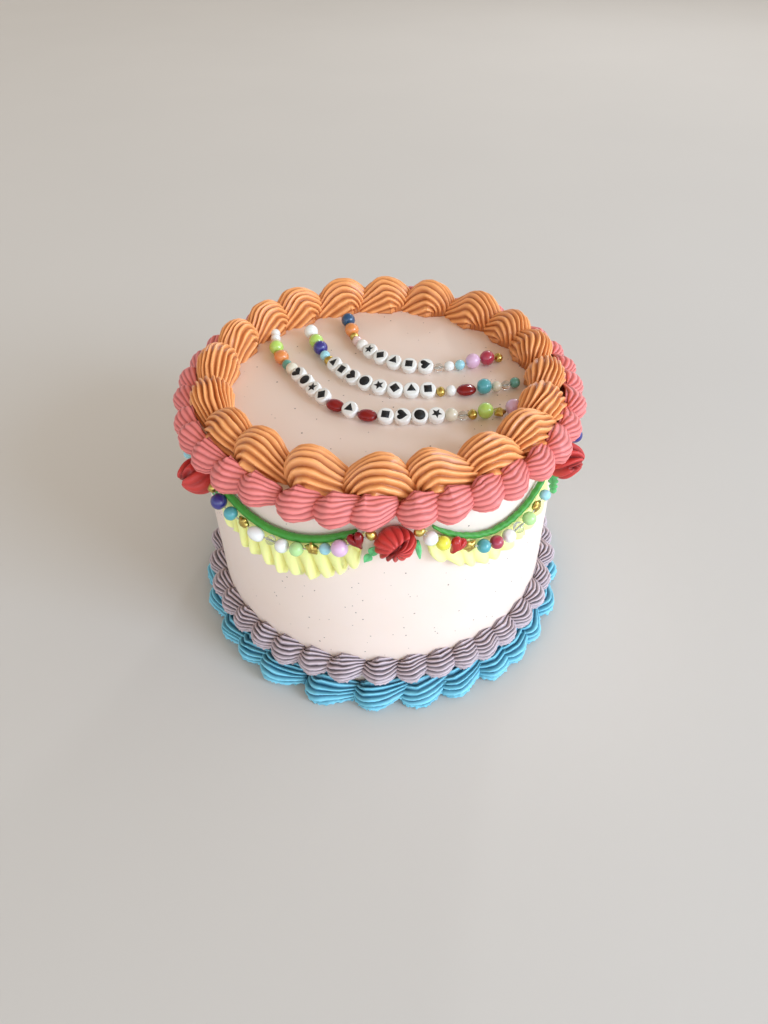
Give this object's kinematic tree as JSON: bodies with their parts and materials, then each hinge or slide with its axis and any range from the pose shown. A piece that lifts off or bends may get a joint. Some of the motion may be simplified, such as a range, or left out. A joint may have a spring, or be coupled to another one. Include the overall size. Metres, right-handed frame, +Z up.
{
  "type": "lambeth cake",
  "caption": "Tall round buttercream cake with piped shell borders round its top and base, swags of rope, ruffle and beads on its side, and strings of beads on its top.",
  "frame": {"origin": "middle of the cake's flat base, on the surface that it stands on", "axes": "+Z up; the picture's camera looks along +Y from the front, with +X to the right"},
  "size_m": [0.1858, 0.1859, 0.1291],
  "materials": {
    "blush_icing": "smooth buttercream, satin, with fine specks",
    "orange_icing": "piped buttercream, satin",
    "coral_icing": "piped buttercream, satin",
    "mauve_icing": "piped buttercream, satin",
    "turquoise_icing": "piped buttercream, satin",
    "green_icing": "piped buttercream, satin",
    "yellow_icing": "piped buttercream, satin",
    "red_icing": "piped buttercream, satin",
    "leaf_icing": "piped buttercream, satin",
    "beads": "glossy acrylic and pearl beads"
  },
  "bodies": {
    "root": {"cake_body": "blush_icing", "top_border": "orange_icing", "collar_border": "coral_icing", "base_border_upper": "mauve_icing", "base_border_lower": "turquoise_icing", "swag_rope_1": "green_icing", "swag_ruffle_1": "yellow_icing", "rosette_1": "red_icing", "swag_bead_string_1": "beads", "swag_rope_2": "green_icing", "swag_ruffle_2": "yellow_icing", "rosette_2": "red_icing", "swag_bead_string_2": "beads", "swag_rope_3": "green_icing", "swag_ruffle_3": "yellow_icing", "rosette_3": "red_icing", "swag_bead_string_3": "beads", "swag_rope_4": "green_icing", "swag_ruffle_4": "yellow_icing", "rosette_4": "red_icing", "swag_bead_string_4": "beads", "swag_rope_5": "green_icing", "swag_ruffle_5": "yellow_icing", "rosette_5": "red_icing", "swag_bead_string_5": "beads", "swag_rope_6": "green_icing", "swag_ruffle_6": "yellow_icing", "rosette_6": "red_icing", "swag_bead_string_6": "beads", "leaf_1": "leaf_icing", "leaf_2": "leaf_icing", "leaf_3": "leaf_icing", "leaf_4": "leaf_icing", "leaf_5": "leaf_icing", "leaf_6": "leaf_icing", "leaf_7": "leaf_icing", "leaf_8": "leaf_icing", "leaf_9": "leaf_icing", "leaf_10": "leaf_icing", "leaf_11": "leaf_icing", "leaf_12": "leaf_icing", "top_bead_string_1": "beads", "top_bead_string_2": "beads", "top_bead_string_3": "beads"}
  },
  "joints": []
}
